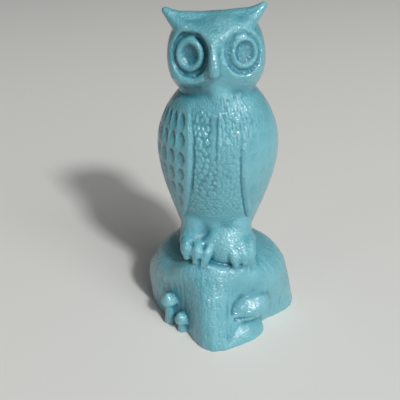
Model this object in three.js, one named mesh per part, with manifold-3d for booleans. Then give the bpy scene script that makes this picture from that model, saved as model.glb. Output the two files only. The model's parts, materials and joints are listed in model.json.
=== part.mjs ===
// A pressed glass owl perched on a tree stump, with two small mushrooms and two shelf fungi at its foot.
// Millimetres, +Z up. The owl looks along -Y, and +X is on the right of someone who faces it.
// The whole figurine is one piece of glass, so every form below ends up in one solid.
import * as THREE from "three";
import { ParametricGeometry } from "three/addons/geometries/ParametricGeometry.js";
import { mergeVertices } from "three/addons/utils/BufferGeometryUtils.js";
import Module from "manifold-3d";

const wasm = await Module();
wasm.setup();

// Driving dimensions
const BODY_FOOT_Z = 33;
const BODY_TOP_Z = 112;
const BODY_DEPTH = 0.85; // front-to-back size of the body as a share of its width
const NECK_DEPTH = 0.2; // added to that share in front, where the chest runs up into the chin
const BODY_SHIFT_X = 0.55; // the body leans a little off the middle of the stump
const HEAD_Z = 119.5;
const HEAD_HALF = new THREE.Vector3(19.1, 16.8, 19);
const HEAD_CORNER = 2.4; // 2 is an ellipsoid, larger is boxier
const HEAD_PLAN_CORNER = 3; // seen from above the head is boxier still
const HEAD_JOWL = 0.15; // how much the head narrows from its middle down to the chin
const HEAD_SHIFT_X = -0.5;
const HEAD_ROLL = THREE.MathUtils.degToRad(3.5); // the owl's left ear sits higher
const STUMP_HEIGHT = 37.2; // its top is inside the owl
const GLASS = 0x6fb4c4;

const { degToRad, smoothstep, lerp } = THREE.MathUtils;

// Tools for shaping

// A smooth curve through stations [place, size], read at any place.
function through(stations) {
  const line = new THREE.SplineCurve(stations.map(([at, size]) => new THREE.Vector2(at, size)));
  const samples = line.getPoints(stations.length * 12);
  return (at) => {
    const next = samples.findIndex((point) => point.x >= at);
    if (next < 0) return samples[samples.length - 1].y;
    if (next === 0) return samples[0].y;
    const [before, after] = [samples[next - 1], samples[next]];
    return lerp(before.y, after.y, (at - before.x) / (after.x - before.x));
  };
}

// Moves every vertex of a geometry by a rule that changes the point in place.
function sculpt(geometry, move) {
  const place = geometry.getAttribute("position");
  const point = new THREE.Vector3();
  for (let i = 0; i < place.count; i++) {
    move(point.fromBufferAttribute(place, i));
    place.setXYZ(i, point.x, point.y, point.z);
  }
  return geometry;
}

// A closed geometry as a solid: shared vertices merged, empty faces dropped, faces turned outwards.
function solid(geometry) {
  const bare = new THREE.BufferGeometry();
  bare.setAttribute("position", geometry.getAttribute("position").clone());
  bare.setIndex(geometry.index);
  const merged = mergeVertices(bare, 1e-3);
  const at = (i) => new THREE.Vector3().fromBufferAttribute(merged.getAttribute("position"), i);
  const faces = [];
  let volume = 0;
  for (let i = 0; i < merged.index.count; i += 3) {
    const [a, b, c] = [0, 1, 2].map((k) => merged.index.getX(i + k));
    if (a === b || b === c || c === a) continue;
    faces.push([a, b, c]);
    volume += at(a).dot(at(b).cross(at(c)));
  }
  const triVerts = new Uint32Array(faces.flatMap((face) => (volume < 0 ? face.reverse() : face)));
  const vertProperties = new Float32Array(merged.getAttribute("position").array);
  return new wasm.Manifold(new wasm.Mesh({ numProp: 3, vertProperties, triVerts }));
}

// A round limb of changing thickness along a curve: stops are [x, y, z, radius], and both ends are round.
// flat squeezes the section at right angles to the world axis that the limb is most square to.
function limb(stops, steps, sides, flat = 1) {
  const path = new THREE.CatmullRomCurve3(stops.map(([x, y, z]) => new THREE.Vector3(x, y, z)));
  const last = stops.length - 1;
  const radius = through(stops.map((stop, i) => [i / last, stop[3]]));
  const span = path.getPoint(1).sub(path.getPoint(0)).toArray().map(Math.abs);
  const square = new THREE.Vector3().setComponent(span.indexOf(Math.min(...span)), 1);
  const out = new THREE.Vector3();
  const side = new THREE.Vector3();
  const along = new THREE.Vector3();
  const cap = 0.2; // share of the steps that rounds off each end
  const place = (u, v, target) => {
    const inner = THREE.MathUtils.clamp((v - cap) / (1 - 2 * cap), 0, 1);
    const over = (Math.max(cap - v, v - 1 + cap, 0) / cap) * (Math.PI / 2);
    const r = radius(inner);
    path.getPoint(inner, target);
    path.getTangent(inner, along);
    side.crossVectors(square, along).normalize();
    out.crossVectors(along, side);
    const turn = u * 2 * Math.PI;
    target.addScaledVector(along, Math.sin(over) * r * (v < 0.5 ? -1 : 1));
    target.addScaledVector(side, Math.cos(turn) * r * Math.cos(over) * flat);
    target.addScaledVector(out, Math.sin(turn) * r * Math.cos(over));
  };
  return solid(new ParametricGeometry(place, sides, steps));
}

// An egg-shaped lump: half sizes, middle, and turns about X, Y and Z in degrees.
function lump(half, middle, turns = [0, 0, 0], across = 16, down = 10) {
  const ball = new THREE.SphereGeometry(1, across, down).rotateX(Math.PI / 2).scale(...half);
  ball.applyMatrix4(new THREE.Matrix4().makeRotationFromEuler(new THREE.Euler(...turns.map(degToRad))));
  return solid(ball.translate(...middle));
}

// A turned form: profile points [radius, height] about +Z, from axis to axis.
function turned(profile, sides) {
  const points = profile.map(([r, h]) => new THREE.Vector2(r, h));
  return new THREE.LatheGeometry(points, sides).rotateX(Math.PI / 2);
}

const join = (parts) => parts.reduce((whole, part) => whole.add(part));
const mirrored = (make) => [make(-1), make(1)];

// Body: an egg with a chest panel between two folded wings

const bodyHalfWidth = through([
  [33, 16.4], [39, 15], [44, 15.5], [48, 16.9], [55, 19.1], [63, 21.7], [72, 24], [80, 25.2],
  [87, 25], [93, 23.7], [99, 21.2], [104, 18], [108, 14.6], [112, 11.8],
]);
// The wings' front edges bow away from the middle above and below their closest height
const WING_EDGE = { x: 9.6, spread: 3.2, z: 88, reach: 32 };
const WING_LIFT = 1.2;
const WING_STEP = 4; // degrees over which the wing rises from the chest
const WING_BAND = 7.5; // degrees of smooth rolled edge before the feathers start
const WING_BACK = 156; // degrees from the front where the folded wings end
const FEATHER = { columns: 11, rows: 6, pitch: 7.35, top: 101.2, depth: 0.8 };
const LEVELS_PER_FEATHER = 3;
const CHEST_SLICES = 2;
const BACK_SLICES = 1;
const WING_SLICES = 2 * FEATHER.columns;
const HALF_SLICES = CHEST_SLICES + 2 + WING_SLICES + 1 + BACK_SLICES;

// Degrees from the front where the wing starts at a height.
function wingEdge(z) {
  const bow = WING_EDGE.x + WING_EDGE.spread * ((z - WING_EDGE.z) / WING_EDGE.reach) ** 2;
  return THREE.MathUtils.radToDeg(Math.asin(Math.min(0.8, bow / bodyHalfWidth(z))));
}

// The slices of the body follow the wing: chest, rising step, rolled edge, feather columns, back.
function sliceDegrees(slice, z) {
  const edge = wingEdge(z);
  const stops = [
    [0, 0], [CHEST_SLICES, edge], [CHEST_SLICES + 1, edge + WING_STEP],
    [CHEST_SLICES + 2, edge + WING_BAND], [CHEST_SLICES + 2 + WING_SLICES, WING_BACK],
    [HALF_SLICES - BACK_SLICES, WING_BACK + WING_STEP], [HALF_SLICES, 180],
  ];
  const next = Math.max(1, stops.findIndex(([at]) => at >= slice));
  const [from, to] = [stops[next - 1], stops[next]];
  return lerp(from[1], to[1], (slice - from[0]) / (to[0] - from[0]));
}

// Height of the body surface over the chest: the wing stands out, and each feather is a scoop, deepest at its top.
function wingRelief(slice, z) {
  const past = slice - CHEST_SLICES;
  const column = (past - 2) / 2;
  const onWing = past > 0 && past < WING_SLICES + 3 ? 1 : 0;
  const ends = smoothstep(z, 46, 52) * (1 - smoothstep(z, 99, 107));
  const down = (FEATHER.top - z) / FEATHER.pitch;
  const plumed = column > 0 && column < FEATHER.columns && down > 0 && down < FEATHER.rows;
  if (!plumed) return WING_LIFT * (1 - ends + ends * onWing);
  const across = Math.abs((column % 1) * 2 - 1);
  const scoop = (1 - across ** 2) * Math.sin(Math.PI * (down % 1)) ** 0.5 * lerp(1, 0.5, down % 1);
  return WING_LIFT - ends * FEATHER.depth * scoop;
}

// Heights of the rings of the body, so that each row of feathers gets the same number of rings.
function bodyLevels() {
  const count = FEATHER.rows * LEVELS_PER_FEATHER;
  const rows = Array.from({ length: count + 1 }, (_, i) => (
    FEATHER.top - ((count - i) * FEATHER.pitch) / LEVELS_PER_FEATHER
  ));
  return [BODY_FOOT_Z, lerp(BODY_FOOT_Z, rows[0], 0.5), ...rows, 103.4, 105.6, 108, BODY_TOP_Z];
}

function body() {
  const levels = bodyLevels();
  const stacks = levels.length + 1;
  const place = (u, v, target) => {
    const turn = Math.round((u * 2 - 1) * HALF_SLICES);
    const level = THREE.MathUtils.clamp(Math.round(v * stacks) - 1, 0, levels.length - 1);
    const z = levels[level];
    const slice = Math.abs(turn);
    const closed = v === 0 || v === 1;
    const r = closed ? 0 : bodyHalfWidth(z) - WING_LIFT + wingRelief(slice, z);
    const angle = degToRad(sliceDegrees(slice, z) * Math.sign(turn));
    const forward = Math.cos(angle);
    const depth = BODY_DEPTH + (forward > 0 ? NECK_DEPTH * smoothstep(z, 96, 110) : 0);
    target.set(BODY_SHIFT_X + r * Math.sin(angle), -r * forward * depth, z);
  };
  return solid(new ParametricGeometry(place, 2 * HALF_SLICES, stacks));
}

// Head: a boxy egg with ear horns, a long beak and two dished eyes

const EYE = { x: 10.8, shift: 0.5, y: -14.3, z: 123.9, outward: 22, up: 6 };
const EYE_SOCKET = [[0, -3.4], [6.7, -3.4], [7.3, -2.4], [8, -0.6], [8.7, 3], [0, 3]];
const SOCKET_INWARD = 0.5; // the groove round an eye is wider towards the beak
const EYE_OVAL = [0.94, 1.04, 1]; // a little taller than wide
const EYE_PROFILE = [
  [0, -6], [6.4, -6], [6.3, -2.4], [5.8, -1.4], [5, -0.9], [4.1, -1], [3.3, -1.6], [2.7, -2.6], [0, -3],
];

function atEye(geometry, side) {
  const frame = new THREE.Object3D();
  frame.position.set(side * EYE.x + EYE.shift, EYE.y, EYE.z - HEAD_Z);
  frame.rotation.set(degToRad(90 - EYE.up), 0, side * degToRad(EYE.outward), "ZXY");
  frame.updateMatrix();
  return solid(geometry.scale(...EYE_OVAL).applyMatrix4(frame.matrix));
}

const roundedLength = (a, b, corner) => (Math.abs(a) ** corner + Math.abs(b) ** corner) ** (1 / corner);
const CROWN = { y: -3, z: 18.2, front: 0.48, back: -0.24 }; // ridge line and the slopes on both sides

function skull() {
  const ball = new THREE.SphereGeometry(1, 30, 17).rotateX(Math.PI / 2);
  return solid(sculpt(ball, (point) => {
    const plan = roundedLength(point.x, point.y, HEAD_PLAN_CORNER);
    const size = roundedLength(plan, point.z, HEAD_CORNER);
    point.divideScalar(size).multiply(HEAD_HALF);
    // The crown is a ridge from ear to ear, the forehead slopes down to the brow, and the chin tucks in
    const behind = point.y - CROWN.y;
    const roof = CROWN.z + behind * (behind < 0 ? CROWN.front : CROWN.back);
    if (point.z > roof - 2) point.z = Math.min(roof, roof - 2 + (point.z - roof + 2) * 0.6);
    if (point.z < 0) point.x *= 1 - HEAD_JOWL * (point.z / HEAD_HALF.z) ** 2;
    if (point.z < 0 && point.y < 0) point.z *= 1 + 0.3 * (point.y / HEAD_HALF.y);
  }));
}

// An ear is two ridges that meet at its tip: one along the crown, one along the brow
function ear(side) {
  const tip = [side * 18.4, -3, 19, 1.2];
  const crown = limb([
    [0, -4, 13.3, 4.6], [side * 8, -3.8, 14, 4.5], [side * 12.4, -3.4, 15, 3.8],
    [side * 15.4, -3.2, 16.7, 2.5], tip,
  ], 10, 10);
  const brow = limb([
    [0, -13.9, 9.2, 3.3], [side * 6, -11.9, 10.4, 3.3], [side * 11, -8.6, 12, 3.1],
    [side * 14.4, -5.2, 14.8, 2.5], tip,
  ], 10, 10);
  return join([crown, brow]);
}

function beak() {
  const x = -0.6;
  return limb([[x, -15.6, 10, 1.3], [x, -17.4, 5, 1.8], [x, -18.6, 0.6, 2.3], [x, -18.3, -1.4, 2.4]], 10, 10);
}

// The throat is narrow, so the neck falls back into a hollow on both sides of it
const throat = () => lump([9.6, 9, 9.5], [-0.6, -7.6, -12], [0, 0, 0], 12, 8);

function head() {
  const sockets = mirrored((side) => (
    atEye(turned(EYE_SOCKET, 22).translate(-side * SOCKET_INWARD, 0.4, 0), side)
  ));
  const eyes = mirrored((side) => atEye(turned(EYE_PROFILE, 22), side));
  const face = sockets.reduce((whole, socket) => whole.subtract(socket), join([skull(), ...mirrored(ear)]));
  return join([face, ...eyes, beak(), throat()])
    .rotate([0, THREE.MathUtils.radToDeg(-HEAD_ROLL), 0])
    .translate([HEAD_SHIFT_X, 0, HEAD_Z]);
}

// Legs, toes and tail

const TOES = [
  // [knuckle x, y, z], [claw x, y, z], thickness
  [[-12.2, -15.9, 43.8], [-11.7, -19, 37.9], 3],
  [[-7.6, -17.1, 42.8], [-7.7, -20.4, 36.4], 3],
  [[-2.9, -17.4, 42.2], [-5, -21, 34.6], 2.9],
  [[7.4, -17.2, 42.2], [9.4, -20.4, 34.8], 2.8],
  [[11.8, -16.4, 42], [13.2, -19.6, 35.9], 2.8],
  [[15.4, -14.8, 41.6], [15.8, -17.6, 35], 2.6],
];

function toe([knuckle, claw, thick]) {
  const [from, to] = [new THREE.Vector3(...knuckle), new THREE.Vector3(...claw)];
  const bend = from.clone().lerp(to, 0.55).add(new THREE.Vector3(0, -1, 0.4));
  const heel = from.clone().add(new THREE.Vector3(0, 5, 1.5));
  return limb([[...heel, thick], [...from, thick], [...bend, thick * 0.95], [...to, thick * 0.5]], 8, 8);
}

// Each leg comes out of the belly by degrees, and the glass runs on between the two
const leg = (side) => limb([
  [side * 8 + 0.3, -6.8, 59, 6.4], [side * 8.4 + 0.3, -8.2, 50, 6.9], [side * 8.8 + 0.3, -9.2, 41, 7.1],
], 7, 10);
const betweenLegs = () => lump([6, 7.4, 13], [0.4, -8.2, 43], [0, 0, 0], 8, 6);
const underFoot = () => lump([8, 6.4, 5], [11, -13.6, 32.4], [0, 0, 0], 10, 6);

function tail() {
  return limb([[0, 9, 76, 8], [0, 12.6, 60, 11], [0, 15.8, 44, 12], [0, 20.4, 31, 10.4]], 8, 12, 0.5);
}

// Stump: plan radii by degrees from the front, at the foot, at mid height and at the rim of the top

const footRadius = through([
  [-180, 31], [-150, 32.5], [-120, 32], [-95, 30], [-77, 27.5], [-60, 25.2], [-42, 23.8], [-30, 24.4],
  [-20, 28.6], [-7, 34.4], [2, 36], [12, 34.6], [26, 31.5], [44, 27.5], [60, 27], [74, 31.5], [86, 37],
  [98, 38.4], [118, 36], [145, 33], [180, 31],
]);
const waistRadius = through([
  [-180, 31], [-150, 32.5], [-120, 33], [-96, 31.6], [-78, 28.8], [-62, 25.2], [-48, 23.7],
  [-34, 23.6], [-22, 26.2], [-11, 30.2], [0, 31], [10, 29], [22, 26], [40, 26.5], [56, 28.5],
  [72, 32], [92, 34.6], [115, 34.8], [145, 33], [180, 31],
]);
// The top is a dome that starts at the rim, and in front the rim climbs to a ledge below the toes
const rimRadius = through([
  [-180, 28.4], [-145, 29.2], [-115, 29.2], [-92, 28.8], [-70, 27.4], [-54, 25.8], [-40, 25.2], [-28, 24.8],
  [-8, 23], [2, 23.8], [10, 24.6], [20, 24.6], [34, 25], [48, 27.4], [70, 30.8], [95, 32],
  [120, 31.2], [150, 29.6], [180, 28.4],
]);
const rimHeight = through([
  [-180, 24], [-70, 24], [-50, 27], [-36, 31], [-24, 33.4], [-8, 33.8], [2, 32.8], [10, 31.4],
  [20, 31], [34, 29.8], [48, 27.4], [64, 25.4], [110, 25], [140, 24], [180, 24],
]);
const WAIST_Z = 16;
// Places on the dome, as shares of the rim's radius and of the climb from rim to top
const DOME = [[0.8, 0.6], [0.42, 0.92], [0, 1]];

function stump() {
  const slices = 46;
  const stacks = 12;
  const place = (u, v, target) => {
    const degrees = u * 360 - 180;
    const [rimR, rimZ] = [rimRadius(degrees), rimHeight(degrees)];
    const profile = new THREE.SplineCurve([
      [footRadius(degrees), 0], [waistRadius(degrees), WAIST_Z], [rimR, rimZ],
      ...DOME.map(([out, up]) => [rimR * out, rimZ + (STUMP_HEIGHT - rimZ) * up]),
    ].map(([r, z]) => new THREE.Vector2(r, z)));
    const along = (v * stacks - 1) / (stacks - 1);
    const at = along < 0 ? new THREE.Vector2(0, 0) : profile.getPoint(along);
    const angle = degToRad(degrees);
    target.set(at.x * Math.sin(angle), -at.x * Math.cos(angle), at.y);
  };
  return solid(new ParametricGeometry(place, slices, stacks));
}

function mushroom([x, y], stemRadius, capRadius, capZ, capHeight) {
  const rim = 0.7;
  const dome = [12, 32, 54, 74].map(degToRad).map((angle) => [
    capRadius * Math.cos(angle), capZ + capHeight * Math.sin(angle),
  ]);
  const profile = [
    [0, 0], [stemRadius * 1.2, 0], [stemRadius, capZ * 0.5], [stemRadius, capZ - rim],
    [capRadius * 0.8, capZ - rim], [capRadius, capZ], ...dome, [0, capZ + capHeight],
  ];
  return solid(turned(profile, 12).translate(x, y, 0));
}

const shelves = () => [
  lump([9.8, 7.4, 5], [15.8, -18.5, 13.3], [34, 0, 30], 16, 8),
  lump([14.4, 9, 8.2], [9.8, -22.5, 0], [0, 0, 24], 16, 10),
];

// The ground cuts the figurine flat
function aboveGround(whole) {
  const size = 200;
  const under = solid(new THREE.BoxGeometry(size, size, size).translate(0, 0, -size / 2));
  return whole.subtract(under);
}

const figurine = aboveGround(join([
  body(), head(), ...mirrored(leg), betweenLegs(), ...TOES.map(toe), tail(), underFoot(), stump(),
  mushroom([-20.2, -16.2], 2.2, 4.2, 11.6, 4.2),
  mushroom([-14.1, -21.8], 2, 3.6, 5.4, 4.6),
  ...shelves(),
]));

function asMesh(whole, name) {
  const { vertProperties, triVerts } = whole.getMesh();
  const geometry = new THREE.BufferGeometry();
  geometry.setAttribute("position", new THREE.BufferAttribute(vertProperties, 3));
  geometry.setIndex(new THREE.BufferAttribute(triVerts, 1));
  geometry.computeVertexNormals();
  const mesh = new THREE.Mesh(
    geometry,
    new THREE.MeshStandardMaterial({ color: GLASS, roughness: 0.12, metalness: 0 }),
  );
  mesh.name = name;
  return mesh;
}

const owl = new THREE.Group();
owl.add(asMesh(figurine, "owl_on_stump"));
export default owl;
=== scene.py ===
# %% [markdown]
# # A pressed glass owl on a stump
# The real object is one pour of opaque aqua glass, pressed in a mould: an owl on a tree stump, with two
# mushrooms at one side of its foot and two shelf fungi at the other. It could be sculpted from a ball of
# clay, but the frame already holds its true form as a plain solid, so this lesson melts that solid's flat
# facets into soft glass. Then it makes the eyes, the beak, the toes and the mushrooms by hand, fuses them
# with the melted glass, and presses the feathers and the bark into the skin. The glass, the light and the
# camera come last. Everything is in metres, and MM turns a length in millimetres into metres.

import json
import math

import bpy
import numpy as np
from mathutils import Matrix, Vector, noise

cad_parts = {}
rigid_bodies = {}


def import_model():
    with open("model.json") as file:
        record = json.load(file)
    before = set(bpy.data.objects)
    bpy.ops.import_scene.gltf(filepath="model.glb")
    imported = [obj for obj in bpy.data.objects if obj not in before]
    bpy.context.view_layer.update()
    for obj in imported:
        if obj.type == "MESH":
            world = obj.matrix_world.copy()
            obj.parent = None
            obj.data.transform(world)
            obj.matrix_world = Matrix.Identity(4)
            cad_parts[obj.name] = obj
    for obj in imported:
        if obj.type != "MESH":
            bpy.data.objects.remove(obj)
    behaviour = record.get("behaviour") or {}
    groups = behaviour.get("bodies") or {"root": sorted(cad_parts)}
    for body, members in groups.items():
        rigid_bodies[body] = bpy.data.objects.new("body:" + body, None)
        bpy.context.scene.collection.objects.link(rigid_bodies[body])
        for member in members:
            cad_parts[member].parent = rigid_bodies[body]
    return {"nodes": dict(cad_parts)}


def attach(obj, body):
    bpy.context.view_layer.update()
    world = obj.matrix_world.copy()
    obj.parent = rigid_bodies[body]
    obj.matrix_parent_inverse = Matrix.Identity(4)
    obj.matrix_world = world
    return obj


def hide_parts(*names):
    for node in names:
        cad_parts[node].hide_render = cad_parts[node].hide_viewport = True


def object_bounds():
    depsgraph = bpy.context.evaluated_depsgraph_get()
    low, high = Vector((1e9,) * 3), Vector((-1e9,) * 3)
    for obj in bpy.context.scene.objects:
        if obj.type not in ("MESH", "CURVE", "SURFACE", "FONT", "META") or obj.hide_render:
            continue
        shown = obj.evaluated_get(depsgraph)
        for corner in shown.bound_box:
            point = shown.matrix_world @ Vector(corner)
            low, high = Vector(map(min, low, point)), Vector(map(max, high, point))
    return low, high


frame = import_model()
cad_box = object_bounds()
MM = 0.001
print("frame nodes:", sorted(frame["nodes"]))

# %% [markdown]
# ## Picking up and modifying
# Operators act on whatever is selected, so a maker puts everything down before picking up the next piece.
# A modifier could stay live on a piece, but applying it at once leaves only a plain mesh behind, and the
# next tool then works on the real points.

# %% Pick up and modify
def put_down():
    bpy.ops.object.select_all(action="DESELECT")


def pick_up(*pieces):
    put_down()
    for piece in pieces:
        piece.select_set(True)
    bpy.context.view_layer.objects.active = pieces[0]


def modify(piece, kind, **settings):
    """Adds one modifier and applies it at once."""
    pick_up(piece)
    modifier = piece.modifiers.new(kind.title(), kind)
    for name, value in settings.items():
        setattr(modifier, name, value)
    bpy.ops.object.modifier_apply(modifier=modifier.name)


put_down()
print("pieces picked up:", len(bpy.context.selected_objects))

# %% [markdown]
# ## Tables of points
# A sculptor's brush needs a hand on it. In a script, carving is easiest on plain tables of numbers: the
# vertices come out as rows of x, y, z in millimetres, are moved all at once, and go back into the mesh.

# %% Points in and out
def points_of(piece):
    flat = np.empty(len(piece.data.vertices) * 3)
    piece.data.vertices.foreach_get("co", flat)
    return flat.reshape(-1, 3) / MM


def move_points(piece, points):
    piece.data.vertices.foreach_set("co", (points * MM).ravel())
    piece.data.update()


def normals_of(piece):
    flat = np.empty(len(piece.data.vertices) * 3)
    piece.data.vertices.foreach_get("normal", flat)
    return flat.reshape(-1, 3)


solid = frame["nodes"]["owl_on_stump"]
print("the solid's top:", round(float(points_of(solid)[:, 2].max()), 1), "mm")

# %% [markdown]
# ## Melted skin
# The real skin has no facets, because the glass was pressed while it flowed. The frame's solid holds the
# true form in flat facets and loose triangles. Subdivision would keep their edges, so a voxel remesh
# turns them into an even skin instead, and smoothing melts it. Thin ear tips would shrink away if they
# melted as much as the rest, so a vertex group says how much each point may move.

# %% Melt the facets
EAR_TIPS = [(-19.5, -3, 137.3), (18.2, -3, 139.5)]
COARSE_VOXEL = 0.5
WEIGHT_STEPS = 20


def smoothstep(low, high, value):
    t = np.clip((value - low) / (high - low), 0, 1)
    return t * t * (3 - 2 * t)


def distance_from(points, centre):
    return np.linalg.norm(points - np.array(centre), axis=1)


def weigh(piece, name, weights):
    """Stores one weight a vertex in a vertex group."""
    group = piece.vertex_groups.new(name=name)
    steps = np.round(np.clip(weights, 0, 1) * WEIGHT_STEPS).astype(int)
    for step in range(WEIGHT_STEPS + 1):
        members = np.flatnonzero(steps == step).tolist()
        if members:
            group.add(members, step / WEIGHT_STEPS, "REPLACE")


glass = bpy.data.objects.new("owl_on_stump_glass", solid.data.copy())
bpy.context.scene.collection.objects.link(glass)
glass.data.materials.clear()
modify(glass, "WELD", merge_threshold=0.01 * MM)
modify(glass, "REMESH", mode="VOXEL", voxel_size=COARSE_VOXEL * MM)
skin = points_of(glass)
from_tips = np.minimum(*(distance_from(skin, tip) for tip in EAR_TIPS))
weigh(glass, "melt", 0.2 + 0.8 * smoothstep(3, 9, from_tips))
modify(glass, "SMOOTH", factor=0.5, iterations=16, vertex_group="melt")
print("melted skin:", len(glass.data.vertices), "points")

# %% [markdown]
# ## Turned forms
# The eyes, their sockets and the mushroom caps are round about an axis. A stretched sphere has the wrong
# profile, so each is made as on a wheel: a disc is extruded and resized ring by ring, and comes out
# closed. Its place goes into the mesh, so that the object itself stays at the origin.

# %% Rings
SIDES = 64


def settle(piece, place=None):
    """Puts a piece at its place, then leaves its object at the origin with the place in the mesh."""
    pick_up(piece)
    if place is not None:
        piece.matrix_world = place
    bpy.ops.object.transform_apply(location=True, rotation=True, scale=True)
    return piece


def ringed(name, rings, place=None):
    """A closed turned form about +Z: a disc extruded through rings of radius and height."""
    put_down()
    radius, height = rings[0]
    bpy.ops.mesh.primitive_circle_add(
        vertices=SIDES, radius=radius * MM, fill_type="NGON", location=(0, 0, height * MM))
    piece = settle(bpy.context.object)
    piece.name = name
    bpy.ops.object.mode_set(mode="EDIT")
    bpy.ops.mesh.select_all(action="SELECT")
    for (was, low), (radius, height) in zip(rings, rings[1:]):
        bpy.ops.mesh.extrude_region_move(TRANSFORM_OT_translate={"value": (0, 0, (height - low) * MM)})
        bpy.ops.transform.resize(value=(radius / was, radius / was, 1))
    bpy.ops.mesh.select_all(action="SELECT")
    bpy.ops.mesh.normals_make_consistent(inside=False)
    bpy.ops.object.mode_set(mode="OBJECT")
    return settle(piece, place)


print("each ring has", SIDES, "sides")

# %% [markdown]
# ## Eyes
# Each eye is a soft ring round a hollow pupil, and it sits in a dished socket that is open towards the
# beak. The rings could be raised from the skin, but the socket is cut with a turned tool, as a mould
# maker would sink it, and the eye is a second turned form put into it. The owl's left side is pressed
# more weakly, so there the pupil is shallow and a soft ring lies in the groove round it. The head leans a
# little, so both eyes are placed in the head's own frame.

# %% Eyes
RIGHT, LEFT = -1, 1  # the owl's own right and left, as signs of x
HEAD = Matrix.Translation(Vector((-0.5, 0, 119.5)) * MM) @ Matrix.Rotation(math.radians(-3.5), 4, "Y")
EYE_RINGS = [
    (6.45, -6), (6.45, -3.2), (6.3, -2.3), (6.0, -1.6), (5.55, -1.1), (5.0, -0.9), (4.5, -0.98),
    (4.1, -1.3), (3.75, -1.9), (3.45, -2.6), (3.0, -3.1), (2.3, -3.35), (1.3, -3.45), (0.3, -3.5),
]
CREST = 5  # the eye's ring is highest at this radius, and the pupil sinks inside it
SHALLOW_RINGS = [
    (radius, max(height, 0.25 * height - 0.9) if radius < CREST else height) for radius, height in EYE_RINGS
]
SOCKET_RINGS = [(5.5, -3.6), (6.9, -3.4), (7.5, -2.8), (7.9, -1.8), (8.2, -0.6), (8.8, 0.8), (9.9, 3)]


def eye_place(side, inward=0.0, up=0.0):
    """The middle of an eye, with +Z out of the head and the eye a little taller than wide."""
    spot = Vector((side * 10.8 + 0.5, -14.3, 4.4)) * MM
    turn = Matrix.Rotation(math.radians(side * 22), 4, "Z") @ Matrix.Rotation(math.radians(84), 4, "X")
    shift = Matrix.Translation(Vector((-side * inward, up, 0)) * MM)
    oval = Matrix.Diagonal((0.94, 1.04, 1, 1))
    return HEAD @ Matrix.Translation(spot) @ turn @ shift @ oval


def cut_away(whole, tool):
    """Cuts a closed tool out of the glass and puts the tool away."""
    modify(whole, "BOOLEAN", operation="DIFFERENCE", solver="MANIFOLD", object=tool)
    bpy.data.objects.remove(tool)


details = []
for side, rings in ((RIGHT, EYE_RINGS), (LEFT, SHALLOW_RINGS)):
    cut_away(glass, ringed("socket", SOCKET_RINGS, eye_place(side, 0.5, 0.4)))
    details.append(ringed("eye", rings, eye_place(side)))
put_down()
bpy.ops.mesh.primitive_torus_add(
    major_radius=7.2 * MM, minor_radius=1.7 * MM, major_segments=64, minor_segments=16, location=(0, 0, 0))
sunk = Matrix.Translation((0, 0, -3.2 * MM))
details.append(settle(bpy.context.object, eye_place(LEFT) @ sunk))
print("sockets cut:", len(glass.data.vertices), "points")

# %% [markdown]
# ## Strokes
# The beak, the toes and the mushroom stems are soft rods that swell and draw in. Stretched spheres would
# show where they meet, so each is one curve with a radius at every point, as a maker pulls a thread of
# hot glass. A few thinner points past each end round it off, and the curve becomes a closed mesh that can
# be fused.

# %% Strokes
ROUND_END = [(0.5, 0.87), (0.87, 0.5), (1, 0.05)]  # how far out and how thick, in radii of the end


def stroke(name, stops, place=None):
    """A rod through stops of x, y, z and radius, with round ends."""
    knots = [Vector(stop[:3]) for stop in stops]
    radii = [stop[3] for stop in stops]
    for end, inner in ((0, 1), (-1, -2)):
        out = (knots[end] - knots[inner]).normalized()
        added = [(knots[end] + out * radii[end] * far, radii[end] * thin) for far, thin in ROUND_END]
        if end == 0:
            knots = [knot for knot, _ in reversed(added)] + knots
            radii = [radius for _, radius in reversed(added)] + radii
        else:
            knots += [knot for knot, _ in added]
            radii += [radius for _, radius in added]
    curve = bpy.data.curves.new(name, "CURVE")
    curve.dimensions = "3D"
    curve.bevel_depth = MM
    curve.bevel_resolution = 6
    curve.resolution_u = 6
    curve.use_fill_caps = True
    line = curve.splines.new("NURBS")
    line.points.add(len(knots) - 1)
    for point, knot, radius in zip(line.points, knots, radii):
        point.co = (*(knot * MM), 1)
        point.radius = radius
    line.use_endpoint_u = True
    line.order_u = 3
    piece = bpy.data.objects.new(name, curve)
    bpy.context.scene.collection.objects.link(piece)
    pick_up(piece)
    bpy.ops.object.convert(target="MESH")
    return settle(bpy.context.object, place)


print("points added past each end:", len(ROUND_END))

# %% [markdown]
# ## Beak
# The beak is a long smooth drop that starts as a thin ridge between the brows. It could be a cone, but a
# cone has a hard foot. One stroke with a growing radius runs out of the brow and ends round.

# %% Beak
BEAK = [  # x, y, z and radius in the head's own frame
    (-0.6, -15.4, 10.5, 1.2), (-0.6, -17.3, 5, 1.8), (-0.6, -18.5, 0.6, 2.2), (-0.6, -18.3, -1.4, 2.35),
]
details.append(stroke("beak", BEAK, HEAD))
print("pieces so far:", len(details))

# %% [markdown]
# ## Toes
# Three toes show on each foot: a swollen knuckle and a blunt claw that hangs over the stump. A stroke
# swells at the knuckle, draws in at the claw's root and ends blunt. The glass ran together between the
# feet, so one rounded lump, a squeezed sphere, fills the gap there.

# %% Toes
TOES = [
    # knuckle, claw tip, radius of the knuckle, radius of the claw
    ((-12.0, -15.9, 43.6), (-11.8, -19.4, 38.6), 3.1, 1.7),
    ((-7.3, -17.1, 42.6), (-8.0, -20.6, 37.4), 3.0, 1.7),
    ((-1.9, -17.4, 42.0), (-5.0, -21.2, 36.4), 3.1, 1.6),
    ((7.2, -16.9, 42.4), (9.3, -20.5, 35.4), 2.6, 1.7),
    ((11.8, -17.0, 41.6), (12.9, -19.9, 36.4), 2.6, 1.6),
    ((15.2, -15.2, 41.2), (15.9, -17.6, 35.4), 2.3, 1.5),
]
HEEL = Vector((0, 5, -0.5))  # from a knuckle back into the foot


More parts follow.
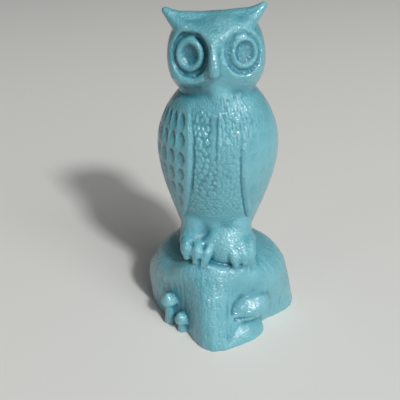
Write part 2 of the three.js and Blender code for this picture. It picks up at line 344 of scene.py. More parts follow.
def toe(knuckle, claw, swell, tip):
    knuckle, claw = Vector(knuckle), Vector(claw)
    root = knuckle.lerp(claw, 0.5) + Vector((0, -0.3, 0.3))
    stops = [(*(knuckle + HEEL), swell), (*knuckle, swell), (*root, (swell + tip) * 0.47), (*claw, tip)]
    return stroke("toe", stops)


details += [toe(*shape) for shape in TOES]
put_down()
bpy.ops.mesh.primitive_uv_sphere_add(segments=32, ring_count=16, radius=1, location=(0, 0, 0))
between = Matrix.Translation(Vector((4.4, -11.3, 40.6)) * MM)
squeeze = Matrix.Diagonal((10.6 * MM, 9.6 * MM, 10 * MM, 1))
details.append(settle(bpy.context.object, between @ squeeze))
print("pieces so far:", len(details))

# %% [markdown]
# ## Mushrooms
# Two little mushrooms stand at the foot, half sunk into the stump. A flattened sphere has no rim, so the
# cap is a pointed dome with a rolled rim, turned ring by ring, and the stem is a stroke that leans with
# it.

# %% Mushrooms
def mushroom(foot, top, radius, height, stem):
    """A cap whose rim is at top, on a stem that starts at foot."""
    foot, top = Vector(foot), Vector(top)
    rings = [
        (0.3, 0.5), (stem, 0.1), (radius * 0.8, -0.35), (radius * 0.95, -0.2), (radius, 0.35),
        (radius * 0.93, height * 0.3), (radius * 0.78, height * 0.55), (radius * 0.55, height * 0.78),
        (radius * 0.28, height * 0.94), (radius * 0.05, height),
    ]
    lean = (top - foot).to_track_quat("Z", "Y").to_matrix().to_4x4()
    cap = ringed("cap", rings, Matrix.Translation(top * MM) @ lean)
    return [cap, stroke("stem", [(*foot, stem * 1.25), (*foot.lerp(top, 0.5), stem), (*top, stem)])]


details += mushroom((-18.9, -16.6, 0.8), (-20.3, -16.6, 11.5), 3.5, 5.2, 1.75)
details += mushroom((-13.2, -21.4, 0.8), (-14.2, -22.1, 5.6), 2.9, 4.8, 1.8)
print("pieces so far:", len(details))

# %% [markdown]
# ## Fusing
# The owl is one piece of glass, with nothing stuck on. Boolean unions of so many soft shapes leave
# slivers. Joining puts all the meshes into one object, still as shells that pass through each other, and
# one more voxel remesh keeps only what is outside and gives it an even, fine skin. A light smoothing then
# rounds the seams, as flowing glass would.

# %% Fuse
FINE_VOXEL = 0.36
pick_up(glass, *details)
bpy.ops.object.join()
modify(glass, "REMESH", mode="VOXEL", voxel_size=FINE_VOXEL * MM)
modify(glass, "SMOOTH", factor=0.5, iterations=3)
print("fused skin:", len(glass.data.vertices), "points")

# %% [markdown]
# ## Soft balls
# Where the mould is shallow, the glass has no hard corners, but smoothing the whole owl would lose the
# crisp places too. A vertex group says where, and a smoothing modifier that follows the group melts only
# that part. Each place is given as a soft ball: a middle, a radius and a weight.

# %% Soft balls
def balls(points, *places):
    """Weights from 0 to 1: full well inside any of the balls, and gone a third of its radius outside it."""
    weights = np.zeros(len(points))
    for centre, reach, weight in places:
        away = distance_from(points, centre)
        weights = np.maximum(weights, weight * (1 - smoothstep(reach * 0.75, reach * 1.3, away)))
    return weights


def soften(name, weights, rounds):
    weigh(glass, name, weights)
    modify(glass, "SMOOTH", factor=0.5, iterations=rounds, vertex_group=name)


def soften_at(name, rounds, *places):
    soften(name, balls(points_of(glass), *places), rounds)


def seen_from(place, points):
    """The points in the coordinates of a place, in millimetres."""
    back = np.array(place.inverted())
    return points @ back[:3, :3].T + back[:3, 3] / MM


print("the head's frame starts", round(HEAD.translation.z / MM, 1), "mm up")

# %% [markdown]
# ## Softening the face
# The forehead runs into the brows like warm wax, while the beak stays crisp, so it is left out of the
# group. The eyes get a group each. The owl's left eye is far softer than its right, and gets five times
# the rounds.

# %% Soften the face
on_head = seen_from(HEAD, points_of(glass))
off_beak = smoothstep(2.6, 4.2, distance_from(on_head[:, [0, 2]], (-0.6, 2)))
forehead = balls(
    on_head, ((0, -10, 13), 5, 1), ((-6, -8.5, 14), 4, 1), ((6, -8.5, 14), 4, 1),
    ((-10, -6.5, 15), 3, 0.8), ((10, -6.5, 15), 3, 0.8), ((0, -16, 8), 3, 0.5))
soften("forehead", forehead * off_beak, 180)
soften_at("brow", 60, ((8.1, -12.8, 133.1), 3.5, 1), ((3.8, -15.3, 131.2), 2.6, 0.8),
          ((11.7, -9.8, 134.6), 3, 1))
for side, rounds in ((RIGHT, 14), (LEFT, 70)):
    eye = seen_from(eye_place(side), points_of(glass))
    out = np.hypot(eye[:, 0], eye[:, 1])
    soften("eye", (1 - smoothstep(9, 11, out)) * (np.abs(eye[:, 2]) < 7), rounds)
print("face softened")

# %% [markdown]
# ## Softening the rest
# The neck, the legs and the stump's shoulder under the feet flow into each other, and the tail lies on
# the stump with no step. The lower shelf fungus is a smooth egg. It stands on the ground, so its lowest
# rim is kept out of its group, or the foot would creep up.

# %% Soften the rest
soften_at("neck", 90, ((0, -14, 108), 7, 1), ((9, -12, 106), 7, 1), ((-9, -12, 105), 6, 1))
soften_at("legs", 260, ((9, -13, 51), 8, 1), ((-9, -13, 52), 7, 1), ((0, -16, 51), 8, 1),
          ((3, -16, 43), 4, 0.8), ((-6, -16, 47.5), 5, 1))
soften_at("feet", 60, ((12, -20, 30), 7, 1), ((0, -22, 33), 4, 0.6), ((11, -19, 42), 5, 0.5))
soften_at("tail", 120, ((-7, 22, 58), 5, 1), ((0, 22.5, 59), 6, 1), ((7, 22, 58), 5, 1),
          ((0, 25, 46), 12, 0.4))
skin = points_of(glass)
above = smoothstep(1, 3, skin[:, 2])
soften("fungi", above * balls(skin, ((8.5, -29.4, 5), 6.5, 1), ((6.5, -30.8, 8), 5, 1)), 140)
print("softened skin:", len(glass.data.vertices), "points")

# %% [markdown]
# ## Carving along paths
# Between the toes, round the face and under the fungi the mould has grooves and rolled edges. A tool
# could be swept along each and cut out, but its edges would be sharp. Here every point of the skin moves
# along its normal instead, most on the path and less with distance, which leaves the soft sides that
# glass has. A pitch breaks a rolled edge into beads.

# %% Grooves and rolls
def off_path(points, path):
    """Distance of every point from a path of straight pieces, and how far along the path it is."""
    nearest, along, start = np.full(len(points), np.inf), np.zeros(len(points)), 0.0
    for here, there in zip(path, path[1:]):
        piece = np.subtract(there, here)
        length = np.linalg.norm(piece)
        share = np.clip((points - here) @ piece / length ** 2, 0, 1)
        away = np.linalg.norm(points - here - share[:, None] * piece, axis=1)
        closer = away < nearest
        nearest[closer] = away[closer]
        along[closer] = start + share[closer] * length
        start += length
    return nearest, along


def carve(lines):
    """Lines are width, height, pitch of the beads or 0, and the path."""
    points, normals = points_of(glass), normals_of(glass)
    for width, height, pitch, path in lines:
        path = np.array(path, float)
        low, high = path.min(axis=0) - 3 * width, path.max(axis=0) + 3 * width
        near = np.flatnonzero(((points > low) & (points < high)).all(axis=1))
        away, along = off_path(points[near], path)
        rise = height * np.exp(-(away / width) ** 2)
        if pitch:
            rise *= 0.5 + 0.5 * np.cos(2 * np.pi * along / pitch)
        points[near] += normals[near] * rise[:, None]
    move_points(glass, points)


def eye_arc(side, radius, start, end, level):
    """A path round an eye, from one clock angle to another: 0 points to +X, 90 up."""
    angles = np.radians(np.linspace(start, end, 13))
    place = eye_place(side)
    arc = [Vector((radius * math.cos(a), radius * math.sin(a), level)) for a in angles]
    return [tuple(place @ (spot * MM) / MM) for spot in arc]


print("points on an arc round an eye:", len(eye_arc(RIGHT, 7, 0, 360, 0)))

# %% [markdown]
# ## The lines
# These lines follow the folds of the real owl. Grooves have a negative height, and rolls and swellings a
# positive one. They could be carved one after another, but then each would turn the next, so all of them
# are carved in one go, along the normals of the uncarved skin.

# %% Carve the lines
FACE_LINES = [
    # the owl's right eye: a deep groove towards the beak and below
    (1.2, -0.9, 0, eye_arc(RIGHT, 7.5, -70, 60, -2.8)),
    (1.0, -0.6, 0, eye_arc(RIGHT, 7.6, 110, 250, -2.6)),
    (1.0, -0.5, 0, eye_arc(RIGHT, 7.0, 0, 360, -3.4)),
    (1.3, -0.8, 0, eye_arc(RIGHT, 8.0, 160, 290, -2)),
    # the tips of both ears, made fuller
    (1.6, 0.4, 0, [(-19.2, -3, 137), (-17, -3, 135.4)]),
    (1.6, 0.4, 0, [(17.9, -3, 139.2), (15.8, -3.1, 137)]),
    # the owl's left eye: a low ring with a beaded pupil
    (0.9, -0.3, 0, eye_arc(LEFT, 6.9, 0, 360, -1.6)),
    (0.6, 0.3, 0, eye_arc(LEFT, 4.7, 0, 360, -1)),
    (0.45, 0.35, 1.3, eye_arc(LEFT, 2.2, 0, 360, -2.4)),
    # rolled rims of the face
    (1.2, 0.7, 0, [(-16.9, -10.7, 114.6), (-13.6, -13.3, 113.4), (-8.3, -15.2, 113.4), (-4.9, -16.1, 114.9)]),
    (0.8, 0.4, 1.4, [(3.6, -16.7, 120.3), (5.2, -16.5, 117.7), (6.4, -16, 115.9)]),
    (0.8, 0.4, 1.4, [(10.2, -14.4, 116), (11.4, -13.7, 117.1), (13.1, -12, 118.2), (14.6, -10.6, 120.4)]),
    # the forehead swells over the beak
    (4.4, 1.4, 0, [(1.0, -9.9, 134.4), (3.5, -9.9, 134.5)]),
    # the hollow under the owl's right cheek
    (3.0, -1.4, 0, [(-12, -10, 108.5), (-7.8, -13.4, 109.5), (-4.6, -14.6, 109)]),
]
FOOT_LINES = [
    # the knuckles of the owl's right foot, made fuller
    (2.0, 0.8, 0, [(-11.6, -18.4, 45.8), (-11.7, -19.6, 43)]),
    (2.0, 0.8, 0, [(-6.9, -19.4, 44.6), (-7.1, -20.3, 42)]),
    (1.8, 0.4, 0, [(-1.6, -19.4, 43.6), (-2.4, -20.4, 41)]),
    # grooves between the toes, and down the outside of the owl's right foot
    (0.6, -0.9, 0, [(-9.3, -18.6, 46), (-9.3, -19.6, 43), (-9.6, -21, 38)]),
    (0.5, -0.9, 0, [(-6.4, -22, 38.4), (-6.6, -22.6, 35.6)]),
    (0.7, -0.8, 0, [(-3.6, -18.4, 47.5), (-4.4, -19.6, 43), (-5.8, -21.6, 38.6)]),
    (0.7, -0.35, 0, [(9.4, -19.2, 43.5), (11, -21.2, 36.8)]),
    (0.7, -0.35, 0, [(13.5, -18.6, 42.6), (14.6, -19.8, 36.6)]),
    (0.9, -0.8, 0, [(-14.8, -15.5, 47), (-14.9, -17.4, 42), (-13.6, -19, 37.5)]),
    # a dip above the right toes, and a swelling that fills the dimple between the legs
    (2.6, -0.4, 0, [(-11.5, -16.6, 48.4), (-8, -17.6, 48), (-4.5, -18, 47.6)]),
    (2.0, 1.0, 0, [(-2.6, -17.6, 46.5), (-1.4, -17.2, 47.5)]),
]
STUMP_LINES = [
    # the stump's foot below the lower shelf fungus, made fuller
    (2.5, 0.7, 0, [(6, -32.6, 1), (9.5, -31.4, 1)]),
    # the creases round the shelf fungi
    (1.3, -0.9, 0, [(8.6, -25.4, 14), (9.4, -24.6, 17), (12.5, -23, 20)]),
    (1.1, -0.5, 0, [(12.5, -23, 20), (17.5, -20.9, 22)]),
    (0.8, -1.0, 0, [(10, -26.6, 10.6), (15.6, -25.4, 10.4), (20.5, -22.6, 10.6), (24.5, -19, 12)]),
]
carve(FACE_LINES + FOOT_LINES + STUMP_LINES)
soften_at("creases", 60, ((16, -22.5, 18), 7, 1), ((11.8, -19.5, 41), 5, 0.7))
print("lines carved:", len(FACE_LINES + FOOT_LINES + STUMP_LINES))

# %% [markdown]
# ## The owl's own coordinates
# Feathers follow the owl, not the room. Each point of the skin gets an azimuth, measured from the front
# round the body's axis, and a height. The body's half width at each height comes from the same stations
# as the solid's, joined by the same kind of smooth curve, so the carving lands where the solid has it.

# %% Body coordinates
BODY_X = 0.55  # the body's axis stands a little off the middle
BODY_DEPTH = 0.85  # how deep the body is for its width
BODY_WIDTHS = [  # height and half width
    (33, 16.4), (39, 15), (44, 15.5), (48, 16.9), (55, 19.1), (63, 21.7), (72, 24), (80, 25.2),
    (87, 25), (93, 23.7), (99, 21.2), (104, 18), (108, 14.6), (112, 11.8),
]


def through(stations, at):
    """A smooth curve through stations of place and size, read at many places."""
    knots = np.array([stations[0], *stations, stations[-1]], float)
    share = np.linspace(0, 1, 12, endpoint=False)[:, None]
    line = []
    for before, start, end, after in zip(knots, knots[1:], knots[2:], knots[3:]):
        out, into = (end - before) / 2, (after - start) / 2
        line.append((2 * start - 2 * end + out + into) * share ** 3
                    + (3 * end - 3 * start - 2 * out - into) * share ** 2 + out * share + start)
    line = np.vstack([*line, knots[-1:]])
    return np.interp(at, line[:, 0], line[:, 1])


def round_body(points):
    """Azimuth in degrees, radius and depth share of every point, seen from the body's axis."""
    x, y, z = points[:, 0] - BODY_X, -points[:, 1], points[:, 2]
    depth = BODY_DEPTH + np.where(y > 0, 0.2 * smoothstep(96, 110, z), 0)
    return np.degrees(np.arctan2(x, y / depth)), np.hypot(x, y / depth), depth


def wing_edge(z):
    """The azimuth of the wings' front edges, which bow out round the chest, at each height."""
    bow = 9.6 + 3.2 * ((z - 88) / 32) ** 2
    return np.degrees(np.arcsin(np.minimum(0.8, bow / through(BODY_WIDTHS, z))))


print("the wings' front edges stand", round(float(wing_edge(88)), 1), "degrees from the front at mid height")

# %% [markdown]
# ## Beads and scoops
# On the chest the feathers are beads, and on the wings they are scoops in plain rows and columns, each
# deepest under its arched top and front edge. Hundreds of modelled feathers would be heavy and never
# quite fuse. Every pattern is a height over the body's azimuth and the height above the ground instead,
# so it could have been drawn on paper and wrapped round. A table of small random shifts keeps the rows
# from looking printed.

# %% Patterns
SCATTER_SIZE = 61
rng = np.random.default_rng(11)
SCATTER = rng.random((SCATTER_SIZE, SCATTER_SIZE, 3)) - 0.5
WING_COLUMNS, WING_ROWS = 11, 6
WING_TOP, WING_ROW = 101.2, 7.35  # height of the first row's top, and of each row
WING_BACK = 156  # the azimuth where the wings end


def beads(across, up, wide, tall, loose=0.3):
    """Heights from 0 to 1 of beads in staggered rows, each a little off its place."""
    nearest = np.full(len(across), 9.0)
    row = np.floor(up / tall)
    for rise in (-1, 0, 1):
        line = row + rise
        shift = (line % 2) / 2
        column = np.round(across / wide - shift)
        for slide in (-1, 0, 1):
            off = SCATTER[(line % SCATTER_SIZE).astype(int), ((column + slide) % SCATTER_SIZE).astype(int)]
            x = (column + slide + shift + loose * off[:, 0]) * wide
            y = (line + 0.5 + loose * off[:, 1]) * tall
            size = 0.5 * (1 + 0.5 * off[:, 2])
            away = ((across - x) / (wide * size)) ** 2 + ((up - y) / (tall * size)) ** 2
            nearest = np.minimum(nearest, away)
    return np.clip(1 - nearest, 0, 1) ** 0.8


def bump(at, centre, reach):
    return np.exp(-(((at - centre) / reach) ** 2))


def scoops(azimuth, z):
    """Depths from 0 to 1 of the wing feathers, the same on both wings."""
    first = wing_edge(z) + 7.5
    column = (azimuth - first) / ((WING_BACK - first) / WING_COLUMNS)
    row = (WING_TOP - z) / WING_ROW
    last = SCATTER_SIZE - 1
    off = SCATTER[np.clip(row, 0, last).astype(int), np.clip(column, 0, last).astype(int)]
    back = (column % 1) * 2 - 1 + 0.12 * off[:, 0]
    down = (row % 1) * 2 - 1 + 0.12 * off[:, 1]
    inside = 1 - (back / 0.9) ** 2 - (down / 0.95) ** 2
    tilt = np.clip(0.55 - 0.4 * down - 0.25 * back, 0.08, 1.2)
    on = (column > 0) & (column < WING_COLUMNS) & (row > 0) & (row < WING_ROWS)
    return on * np.clip(inside, 0, 1) ** 0.4 * tilt


print("scoops on each wing:", WING_COLUMNS * WING_ROWS)

# %% [markdown]
# ## Wings and chest
# The wings are folded over the sides and stand a step above the chest. Their scoops are crisp on the
# owl's right and faint on its left. Between them the chest's feathers are round and crowded on the owl's
# right, drawn out into upright ticks on its left, and fine flat dashes towards the hem. The two kinds
# meet at a low keel down the middle.

# %% Wings and chest
PLAIN_STEP = 1.2  # how far the wings stand above the plain body
CHEST_RADIUS = 24  # turns an angle on the chest into a length


def wing_relief(side, away, past, z):
    """The wings' step, their scoops and the groove along their front edge."""
    ends = smoothstep(46, 52, z) * (1 - smoothstep(99, 107, z))
    wing = smoothstep(-1.5, 5, past) * (1 - smoothstep(WING_BACK, 160, away))
    step = np.where(side < 0, 0.8, 0.7 - 0.6 * smoothstep(72, 92, z))
    relief = PLAIN_STEP - ends * (1 - wing) * step
    relief += ends * (0.15 * bump(past, 4.2, 2.2) - np.where(side < 0, 1.0, 0.18) * scoops(away, z))
    groove = np.where(side < 0, smoothstep(66, 72, z) * (1 - smoothstep(90, 96, z)),
                      0.8 * smoothstep(49, 56, z) * (1 - smoothstep(84, 92, z)))
    return relief - 0.5 * groove * bump(past, -0.8, 1.3)


def chest_texture(azimuth, arc, z):
    """Beads on one side, ticks on the other, and fine dashes below."""
    fine = 1 - smoothstep(64, 70, z)
    left = smoothstep(-2, 3, azimuth)
    high = smoothstep(80, 98, z)
    texture = (1 - left) * 0.42 * beads(arc, z, 2.1, 2.5, 0.6)
    texture += left * (1 - high) * 0.25 * beads(z, arc, 2.6, 1.9, 0.6)
    texture += left * high * 0.4 * beads(z, arc, 4.6, 1.6, 0.6)
    return (1 - fine) * texture + fine * 0.3 * beads(arc, z, 2.3, 1.4, 0.45)


def plumage(azimuth, z):
    """Height of the body's skin over its plain form, and of the ticks on the throat, in millimetres."""
    side, away = np.sign(azimuth), np.abs(azimuth)
    past = away - wing_edge(z)
    relief = wing_relief(side, away, past, z)
    arc = np.radians(azimuth) * CHEST_RADIUS
    shoulder = np.where(side > 0, 14 * smoothstep(84, 92, z), 0)
    chest = 1 - smoothstep(-1.6, -0.4 + shoulder, past - 0.5 * shoulder)
    chest *= smoothstep(57, 58.5, z) * (1 - smoothstep(105, 109, z))
    upper = smoothstep(80, 90, z)
    keel = bump(azimuth, -2.6 - 0.04 * (105 - z), 3.4) * upper
    relief += chest * ((1 - keel) * chest_texture(azimuth, arc, z) + 0.45 * keel)
    relief -= chest * 0.1 * bump(azimuth, -7.8 - 0.04 * (105 - z), 1.5) * upper
    throat = 0.35 * beads(z, arc, 4.6, 1.6, 0.6)
    throat = throat * smoothstep(-3, 3, azimuth) * (1 - smoothstep(34, 44, azimuth))
    return relief, throat * smoothstep(99, 101, z) * (1 - smoothstep(107, 110, z))


front_height = plumage(np.array([0.0]), np.array([75.0]))[0]
print("the chest's height at the front:", round(float(front_height[0]), 2), "mm")

# %% [markdown]
# ## Pressing
# A mould presses each point straight towards the body's axis, so the skin is moved along the radius and
# not along its normal, which would fray at the wings' edges. Points that lie far from the body's own
# curve belong to the head, the legs or the tail and stay where they are. Only the throat's ticks are
# simply added, because the neck is no longer round there.

# %% Press the feathers
skin = points_of(glass)
azimuth, radius, depth = round_body(skin)
z = skin[:, 2]
relief, throat = plumage(azimuth, z)
want = through(BODY_WIDTHS, z) - PLAIN_STEP + relief
off_form = np.abs(want - radius)
hold = smoothstep(52, 57, z) * (1 - smoothstep(100, 105, z)) * (1 - smoothstep(1.6, 3, off_form))
push = (want - radius) * hold + throat * (1 - hold) * (off_form < 8)
turn = np.radians(azimuth)
skin[:, 0] += push * np.sin(turn)
skin[:, 1] -= push * np.cos(turn) * depth
move_points(glass, skin)
print("feathers pressed by", round(float(np.abs(push).max()), 2), "mm at most")

# %% [markdown]
# ## Bark
# The stump's bark is a grain of upright ridges that runs over the dome from the owl's feet and down the
# sides. A bump in the material would vanish at the outline, so the ridges are real. Smooth noise,
# squeezed across the grain and drawn out along it, gives ridges that never repeat, and the front adds
# fine ticks. The fungi and the soft shoulder under the feet are left smooth.

# %% Press the bark
STUMP_RADIUS = 30
SMOOTH_PLACES = [
    ((16, -23, 15), 9, 1), ((17, -27, 3), 10, 1), ((-19.5, -17.5, 10), 5.5, 1), ((-13.8, -22.5, 6), 5, 1),
    ((12, -24, 28), 6, 0.8), ((1, -21.5, 35), 5.5, 1),
]


def grain(across, along, seed):
    """Smooth noise over two coordinates, from -1 to 1."""
    return np.array([noise.noise(Vector((u, v, seed))) for u, v in zip(across, along)])


skin = points_of(glass)
normals = normals_of(glass)
angle = np.arctan2(skin[:, 0], -skin[:, 1])
out = np.hypot(skin[:, 0], skin[:, 1])
stump = (1 - smoothstep(30, 36, skin[:, 2])) * smoothstep(15, 19, out)
stump *= 1 - balls(skin, *SMOOTH_PLACES)
chosen = np.flatnonzero(stump > 0)
around = angle[chosen] * STUMP_RADIUS
run = skin[chosen, 2] - out[chosen] * 0.6
ridges = grain(around / 1.5, run / 13, 3.0) + 0.5 * grain(around / 0.8, run / 7, 8.0)
degrees = np.degrees(angle[chosen])
front = smoothstep(-32, -24, degrees) * (1 - smoothstep(4, 12, degrees))
ticks = 0.13 * front * beads(run, around, 3.4, 1.2, 0.6)
skin[chosen] += normals[chosen] * (stump[chosen] * ((0.2 - 0.1 * front) * ridges + ticks))[:, None]
move_points(glass, skin)
print("bark pressed on", len(chosen), "points")

# %% [markdown]
# ## Thinning
# The skin is finer than it needs to be on the calm parts. A coarser remesh would blur the beads, so a
# decimation takes out the points that matter least. A few crumbs can come loose in it, so all that hangs
# together with the highest point is kept and the rest is deleted.

# %% Thin the skin
MOST_TRIANGLES = 190_000
faces = sum(len(face.vertices) - 2 for face in glass.data.polygons)
modify(glass, "DECIMATE", ratio=min(1, MOST_TRIANGLES / faces), use_collapse_triangulate=True)
before = len(glass.data.vertices)
bpy.ops.object.mode_set(mode="EDIT")
bpy.ops.mesh.select_mode(type="VERT")
bpy.ops.mesh.select_all(action="DESELECT")
bpy.ops.object.mode_set(mode="OBJECT")
glass.data.vertices[int(points_of(glass)[:, 2].argmax())].select = True
bpy.ops.object.mode_set(mode="EDIT")
bpy.ops.mesh.select_linked()
bpy.ops.mesh.select_all(action="INVERT")
bpy.ops.mesh.delete(type="VERT")
bpy.ops.object.mode_set(mode="OBJECT")
print("loose points removed:", before - len(glass.data.vertices))

# %% [markdown]
# ## Flattening
# The foot is flat where the owl stands, and nothing may grow past the solid's own box. A Boolean cut
# would leave slivers along the rim, so the points are simply held inside the box, and those just above
# the ground are set down on it.

# %% Flatten the foot
SET_DOWN = 0.25
skin = points_of(glass)
skin = np.clip(skin, np.array(cad_box[0]) / MM, np.array(cad_box[1]) / MM)
skin[skin[:, 2] < SET_DOWN, 2] = 0
move_points(glass, skin)
print("final skin:", len(glass.data.polygons), "triangles")

# %% [markdown]
# ## Painted shade in hollows, painted sheen on crests
# Grooves are painted a deeper colour as painted shade, and crests a paler one as a painted sheen, in place
# of the light and shade that grooves and edges take. To tell the two apart, each point is compared with the
# average of its neighbours, once close by and once far round: where the average lies outside the skin, the
# point is in a hollow. The answer is kept as a number on each point, so the painted shade stays in its
# groove from every side.

# %% Find hollows
NARROW, BROAD = 0.19, 1.2  # how far a full hollow lies below its near and its far neighbours


def averaged(values, edges, rounds):
    """Values of the points, each mixed with its neighbours' again and again."""
    ends = np.concatenate([edges[:, 0], edges[:, 1]])
    others = np.concatenate([edges[:, 1], edges[:, 0]])
    count = np.bincount(ends, minlength=len(values)).clip(1)[:, None]
    for _ in range(rounds):
        total = np.stack([np.bincount(ends, column[others], len(values)) for column in values.T], axis=1)
        values = 0.5 * values + 0.5 * total / count
    return values


edges = np.empty(len(glass.data.edges) * 2, np.int32)
glass.data.edges.foreach_get("vertices", edges)
edges = edges.reshape(-1, 2)
skin, normals = points_of(glass), normals_of(glass)
near = ((averaged(skin, edges, 8) - skin) * normals).sum(axis=1)
wide = ((averaged(skin, edges, 60) - skin) * normals).sum(axis=1)
# painted shade where this is above zero, in hollows; painted sheen where it is below zero, on crests
painted_shade_and_sheen = averaged((near / NARROW + wide / BROAD)[:, None], edges, 2)[:, 0]
print("share of the skin in hollows:", round(float((painted_shade_and_sheen > 0.5).mean()), 3))

# %% [markdown]
# ## Painted shadow and calm places
# A soft ball adds painted shadow to the shoulder under the feet, so it is darker than its shape alone makes
# it. A second number says how wrinkled the skin is: the fire left it rippled nearly everywhere, but it is
# calm on the fungi, the legs, the throat and the keel.

# %% Keep the numbers
CALM_PLACES = [
    ((16, -23, 17), 7, 0.3), ((14, -22, 27), 6, 0.7), ((2.5, -16, 114), 6, 0.7), ((-1, -20, 98), 2.5, 0.6),
    ((-2, -20.5, 88), 3, 0.6), ((-4, -17, 50), 5, 0.7), ((13, -29, 8), 4, 0.6), ((1, -21.5, 35), 4.5, 0.5),
]


def keep_number(piece, name, values):
    stored = piece.data.attributes.new(name, "FLOAT", "POINT")
    stored.data.foreach_set("value", np.asarray(values, np.float32))


# painted shadow under the feet, added to the painted shade of the hollows
painted_shade_and_sheen += 0.3 * balls(skin, ((0.5, -20.5, 35.6), 4.5, 1))
calm = balls(skin, *CALM_PLACES)
keep_number(glass, "wrinkled", 1 - 0.85 * calm)
# the painted shade and sheen, kept as a number on each point
keep_number(glass, "painted_shade_and_sheen", np.clip(painted_shade_and_sheen, -1, 1))
print("share of the skin that is calm:", round(float((calm > 0.25).mean()), 3))

# %% [markdown]
# ## Milk glass
# The real glass is opaque aqua, a little milky where light enters it, under a glossy skin that the fire
# left finely wrinkled. A see-through material would be too clear, so a plain opaque shader carries it:
# some light scatters under the surface, and a coat gives the sharp glints.

# %% Milk glass
milk = bpy.data.materials.new("aqua milk glass")
milk.use_nodes = True
nodes, links = milk.node_tree.nodes, milk.node_tree.links
shader = nodes["Principled BSDF"]
shader.inputs["Roughness"].default_value = 0.5
shader.inputs["IOR"].default_value = 1.6
shader.inputs["Specular IOR Level"].default_value = 0.6
shader.inputs["Subsurface Weight"].default_value = 0.3
shader.inputs["Subsurface Radius"].default_value = (0.3, 0.8, 1.0)
shader.inputs["Subsurface Scale"].default_value = 0.0006
shader.inputs["Coat Weight"].default_value = 1
shader.inputs["Coat Roughness"].default_value = 0.08
print("material:", milk.name)

# %% [markdown]
# ## Colour
# The colour is not even: faint clouds drift through the pour. Grooves are darkened to a deep teal as
# painted shade, and crests are made paler as a painted sheen. Painting it would need an image, so noise
# makes the clouds, and the number kept on each point chooses the painted shade and sheen that multiply
# them.

# %% Colour
def node(kind, **values):
    """One node of the glass, with its sockets set by name."""
    made = nodes.new(kind)
    for name, value in values.items():
        made.inputs[name].default_value = value
    return made


def ramp(source, *stops):
    """A colour ramp of stops of place and colour, fed by a socket."""
    made = nodes.new("ShaderNodeValToRGB")
    while len(made.color_ramp.elements) < len(stops):
        made.color_ramp.elements.new(0.5)
    for element, (place, colour) in zip(made.color_ramp.elements, stops):
        element.position = place
        element.color = (*colour, 1)
    links.new(source, made.inputs["Fac"])
    return made.outputs["Color"]


def kept_number(name):
    """The number that the mesh keeps on each point under this name."""
    made = nodes.new("ShaderNodeAttribute")
    made.attribute_name = name
    return made.outputs["Fac"]


where = nodes.new("ShaderNodeTexCoord").outputs["Object"]
clouds = node("ShaderNodeTexNoise", Scale=70, Detail=3)
links.new(where, clouds.inputs["Vector"])
tint = ramp(clouds.outputs["Fac"], (0.35, (0.08, 0.33, 0.4)), (0.65, (0.11, 0.385, 0.455)))
reach = nodes.new("ShaderNodeMapRange")
reach.inputs["From Min"].default_value = -1
links.new(kept_number("painted_shade_and_sheen"), reach.inputs["Value"])
# painted shade: hollows turn deep teal; painted sheen: crests turn paler and whiter
painted_shading = ramp(reach.outputs["Result"], (0.3, (1.22, 1.05, 1.03)), (0.5, (1, 1, 1)), (0.85, (0.12, 0.5, 0.57)))
tint_with_painted_shading = nodes.new("ShaderNodeMix")
tint_with_painted_shading.data_type = "RGBA"
tint_with_painted_shading.blend_type = "MULTIPLY"
tint_with_painted_shading.inputs["Factor"].default_value = 1
links.new(tint, tint_with_painted_shading.inputs["A"])
links.new(painted_shading, tint_with_painted_shading.inputs["B"])
links.new(tint_with_painted_shading.outputs["Result"], shader.inputs["Base Color"])
print("nodes that make the colour:", len(nodes))

# %% [markdown]
# ## Wrinkled skin
# The ripples of the fire polish are a fraction of a millimetre high and finer than the mesh, so they are
# a bump: noise that is bent a little, as strong as the second number on each point says. The coat gets
# the same bump, because the glints lie on it.

# %% Wrinkled skin
ripple = node("ShaderNodeTexNoise", Scale=750, Detail=1.5, Roughness=0.5, Distortion=1.2)
links.new(where, ripple.inputs["Vector"])
chill = node("ShaderNodeBump", Distance=0.0005)
links.new(ripple.outputs["Fac"], chill.inputs["Height"])
links.new(kept_number("wrinkled"), chill.inputs["Strength"])
links.new(chill.outputs["Normal"], shader.inputs["Normal"])
links.new(chill.outputs["Normal"], shader.inputs["Coat Normal"])
glass.data.materials.clear()
glass.data.materials.append(milk)
pick_up(glass)
bpy.ops.object.shade_smooth()
print("nodes in the glass:", len(nodes))

# %% [markdown]
# ## Floor
# The owl stands on pale paper, with nothing else in sight. A sweep could hide the horizon, but from above
# a wide plain sheet is all that shows, so one plane does.

# %% Floor
bpy.ops.mesh.primitive_plane_add(size=4)
floor = bpy.context.object
floor.name = "floor"
paper = bpy.data.materials.new("pale paper")
paper.use_nodes = True
sheet = paper.node_tree.nodes["Principled BSDF"]
sheet.inputs["Base Color"].default_value = (0.73, 0.73, 0.7, 1)
sheet.inputs["Roughness"].default_value = 0.8
floor.data.materials.append(paper)
print("floor:", round(floor.dimensions.x, 1), "m wide")

# %% [markdown]
# ## Light
# The light comes from the owl's left and above: a small lamp gives the sharp glints, and a wide one like
# a window gives the soft ones. A weak lamp on the other side and one overhead open the shadows. Each is
# placed by its angles from the owl, as one walks round a model on a table.

# %% Light
LAMP_DISTANCE = 4
AIM = Vector((0, 0, 0.07))


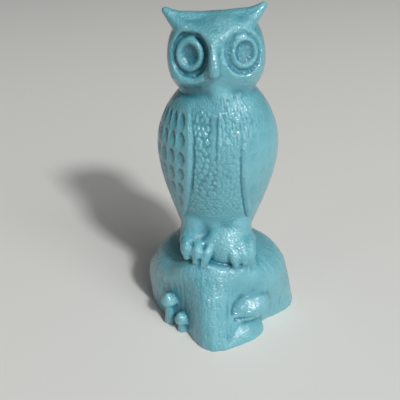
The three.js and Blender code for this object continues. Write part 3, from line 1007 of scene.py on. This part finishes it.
def lamp(name, azimuth, elevation, size, watts):
    """A round softbox that looks at the owl: azimuth from the front towards +X, elevation from the floor."""
    around, up = math.radians(azimuth), math.radians(elevation)
    out = Vector((math.sin(around) * math.cos(up), -math.cos(around) * math.cos(up), math.sin(up)))
    data = bpy.data.lights.new(name, "AREA")
    data.shape = "DISK"
    data.size = size
    data.energy = watts
    light = bpy.data.objects.new(name, data)
    light.location = AIM + out * LAMP_DISTANCE
    light.rotation_euler = out.to_track_quat("Z", "Y").to_euler()
    bpy.context.scene.collection.objects.link(light)


lamp("key", 33, 40, 0.45, 108)
lamp("window", 40, 34, 3, 62)
lamp("second", -47, 36, 0.4, 3)
lamp("ceiling", 24, 72, 2.6, 18)
world = bpy.data.worlds.new("room")
world.use_nodes = True
world.node_tree.nodes["Background"].inputs["Color"].default_value = (1, 1, 1, 1)
world.node_tree.nodes["Background"].inputs["Strength"].default_value = 0.07
bpy.context.scene.world = world
bpy.context.scene.view_settings.view_transform = "Standard"
print("lamps:", len(bpy.data.lights))

# %% [markdown]
# ## Camera
# The photograph looks down on the owl from close by, so the owl narrows towards its foot. A long lens
# from far off would lose that, so the camera stands less than 30 centimetres from the foot, tips down and
# turns a little, and needs no shift.

# %% Camera
TIP_DOWN, TURN = 28.4, 2.5
camera_data = bpy.data.cameras.new("camera")
camera_data.lens = 53.28
camera_data.sensor_width = 36
camera = bpy.data.objects.new("camera", camera_data)
camera.location = (3.14 * MM, -230.08 * MM, 180 * MM)
camera.rotation_euler = (math.radians(90 - TIP_DOWN), 0, math.radians(TURN))
bpy.context.scene.collection.objects.link(camera)
bpy.context.scene.camera = camera
print("camera:", round(camera.location.length / MM), "mm from the middle of the owl's foot")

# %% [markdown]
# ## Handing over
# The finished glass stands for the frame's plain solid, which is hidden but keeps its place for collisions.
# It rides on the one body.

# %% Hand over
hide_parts("owl_on_stump")
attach(glass, "root")
bpy.context.view_layer.update()
